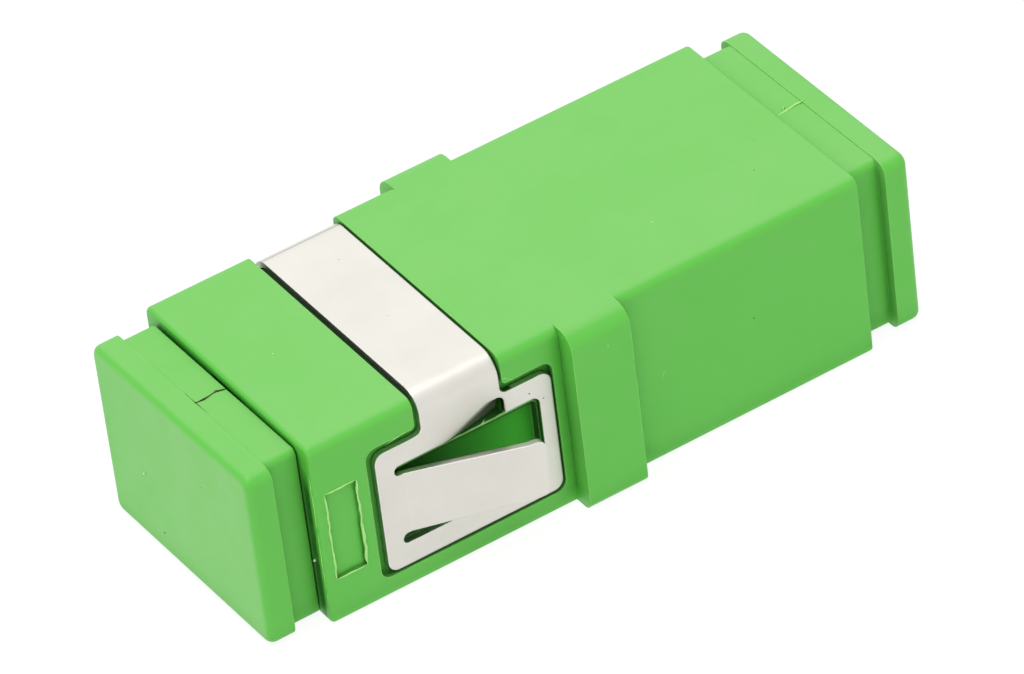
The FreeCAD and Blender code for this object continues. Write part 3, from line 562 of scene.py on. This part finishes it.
def add_thread(name, corners, owner, thick, drift, seed, material=FLASH_GREEN):
    """A ragged thread along the line through the corners, thick at random and thin at its ends.

    thick is its radius and drift how far it strays, both in millimetres.
    """
    spine = []
    for number, (start, end) in enumerate(zip(corners, corners[1:])):
        steps = max(3, round((end - start).length / (THREAD_STEP * MM)))
        part = wander(start, end, steps, drift * MM, seed + 7.3 * number)
        spine += part if not spine else part[1:]
    last = len(spine) - 1
    widths = []
    for index in range(last + 1):
        swell = 0.75 + 0.55 * noise.noise(Vector((seed * 1.7, index * SWELL_RATE, 3.1)))
        taper = min(1.0, 0.25 + index / 3, 0.25 + (last - index) / 3)
        widths.append(thick * MM * swell * taper)
    add_detail(name, *tube(spine, widths), material, *owner)


def grain(centre, radius, first):
    """Points and faces of a rough ball; its points are numbered from first."""
    points, faces = [], []
    spin = dice.uniform(0, math.pi)
    for ring in range(1, GRAIN_RINGS):
        polar = math.pi * ring / GRAIN_RINGS
        for side in range(GRAIN_SIDES):
            angle = spin + 2 * math.pi * side / GRAIN_SIDES
            reach = radius * dice.uniform(0.75, 1.2)
            level = math.sin(polar)
            way = Vector((level * math.cos(angle), level * math.sin(angle), math.cos(polar)))
            points.append(centre + way * reach)
    bottom = first + len(points)
    points += [centre - Vector((0, 0, radius)), centre + Vector((0, 0, radius))]
    last_ring = first + (GRAIN_RINGS - 2) * GRAIN_SIDES
    for ring_start in range(first, last_ring, GRAIN_SIDES):
        for side in range(GRAIN_SIDES):
            one = ring_start + side
            two = ring_start + (side + 1) % GRAIN_SIDES
            faces.append((one, one + GRAIN_SIDES, two + GRAIN_SIDES, two))
    for side in range(GRAIN_SIDES):
        following = (side + 1) % GRAIN_SIDES
        faces.append((bottom + 1, first + side, first + following))
        faces.append((bottom, last_ring + following, last_ring + side))
    return points, faces


def add_dust(name, places, material, owner):
    """Grains of dust, half sunk: each place is along, across, up and the grain's radius in millimetres."""
    points, faces = [], []
    for *place, radius in places:
        more_points, more_faces = grain(spot(*place), radius * MM, len(points))
        points += more_points
        faces += more_faces
    add_detail(name, points, faces, material, *owner)


def add_cap_flash():
    """A raised thread of flash with a curl across the right cap's neck, and a whisker on its plate."""
    start = (LENGTH, 0, CAP_TOP)
    ridge = places_from(start, [(0.10, -0.16, -0.07), (0.75, -0.10, -0.03), (1.25, -0.02, -0.01),
                                (1.72, -0.06, 0.02)])
    add_thread("cap_right_flash", ridge, RIGHT_CAP, thick=0.062, drift=0.02, seed=3.0)
    curl = places_from(start, [(0.62, -0.10, -0.03), (0.66, 0.05, 0.02), (0.86, 0.20, 0.03)])
    add_thread("cap_right_curl", curl, RIGHT_CAP, thick=0.04, drift=0.01, seed=5.0)
    whisker = places_from(start, [(1.60, 1.05, 0), (1.62, 0.80, 0.01)])
    add_thread("cap_right_whisker", whisker, RIGHT_CAP, thick=0.025, drift=0.02, seed=8.0)


def add_cap_dirt():
    """Dirt in the crack across the left cap's neck, and along the step beside it."""
    start = (0, 0, NECK_TOP)
    crack = places_from(start, [(-1.60, -0.22, 0), (-1.06, -0.25, 0), (-0.58, -0.12, 0), (-0.20, -0.25, 0)])
    add_thread("cap_left_crack", crack, LEFT_CAP, thick=0.042, drift=0.03, seed=31.0, material=CRACK_DIRT)
    step = places_from(start, [(-1.625, 0.60, 0), (-1.60, -0.22, 0), (-1.59, -1.10, 0)])
    add_thread("cap_left_dirt", step, LEFT_CAP, thick=0.016, drift=0.02, seed=9.0, material=CRACK_DIRT)


def add_panel_flash():
    """The ragged edges round the shallow side panel: each rim's two ends, thickness and drift."""
    left, right, low, high = 0.5, 2.03, 2.24, 6.82
    rims = {
        "top": ([(left, high), (right, high)], 0.052, 0.035),
        "right": ([(right, high), (right, low)], 0.072, 0.06),
        "left": ([(left, high), (left, low)], 0.062, 0.05),
        "low": ([(left, low), (right, low)], 0.045, 0.03),
    }
    for number, (name, (ends, thick, drift)) in enumerate(rims.items()):
        line = [spot(along, NEAR_SIDE, up) for along, up in ends]
        add_thread(f"panel_flash_{name}", line, HOUSING, thick, drift, seed=11.0 + number)


def add_housing_flash():
    """Whiskers at the clip's bed, its lip, the mouth's edge and elsewhere on the near side, and a pale thread
    on the rib that is partly a painted highlight.
    """
    threads = {
        "bed_left": ([(3.66, 0.02, 7.78), (4.2, -0.03, 7.93), (4.74, 0.02, 7.96)], 0.030),
        "bed_right": ([(9.50, 0.02, 8.24), (9.78, -0.03, 8.07), (10.06, 0.02, 7.82)], 0.026),
        "lip": ([(8.20, 0.03, 6.43), (8.33, -0.01, 6.50), (8.45, 0.01, 6.60)], 0.020),
        "mouth": ([(0.0, 0.17, 8.0), (0.0, 0.15, 6.9), (0.01, 0.16, 5.6), (0.0, 0.15, 4.3), (0.0, 0.16, 3.2),
                   (0.01, 0.15, 1.2)], 0.022),
        # A pale thread along the rib's top edge: partly flash, partly a painted highlight of that lit edge.
        "rib_highlight": ([(6.85, 0.39, 6.08), (8.5, 0.38, 6.08), (10.3, 0.39, 6.08)], 0.032),
        "scratch": ([(17.20, 0, 4.15), (17.27, 0, 4.42), (17.42, 0, 4.62)], 0.020),
    }
    for number, (name, (offsets, thick)) in enumerate(threads.items()):
        line = places_from((0, NEAR_SIDE, 0), offsets)
        add_thread(f"{name}_flash", line, HOUSING, thick, drift=0.03, seed=21.0 + number)


def add_all_dust():
    """Single grains on the housing, the clip and the left cap's end."""
    ear_side = FLANGE_HALF[0][1] / MM
    pale = [(2.41, -0.01, TOP, 0.045), (-0.02, NEAR_SIDE + 0.73, 3.10, 0.07), (6.0, 2.2, STRAP_TOP, 0.02),
            (19.5, -3.1, TOP, 0.03), (14.18, ear_side, 8.08, 0.03)]
    dark = [(10.72, -CLIP_FACE, 6.73, 0.035), (11.38, -CLIP_FACE, 6.15, 0.035), (24.84, -3.0, TOP, 0.03),
            (26.0, -1.3, TOP, 0.02), (21.97, NEAR_SIDE, 4.89, 0.035), (7.5, -1.0, STRAP_TOP, 0.018),
            (8.0, 3.6, STRAP_TOP, 0.02)]
    add_dust("dust_pale", pale, PALE_DUST, HOUSING)
    add_dust("dust_dark", dark, DARK_DUST, HOUSING)
    add_dust("cap_left_dust_pale", [(CAP_END, 2.89, 3.96, 0.05)], PALE_DUST, LEFT_CAP)
    cap_dark = [(CAP_END, 1.90, 1.32, 0.030), (CAP_END, -2.2, 6.4, 0.02)]
    add_dust("cap_left_dust_dark", cap_dark, DARK_DUST, LEFT_CAP)


add_cap_flash()
add_cap_dirt()
add_panel_flash()
add_housing_flash()
add_all_dust()
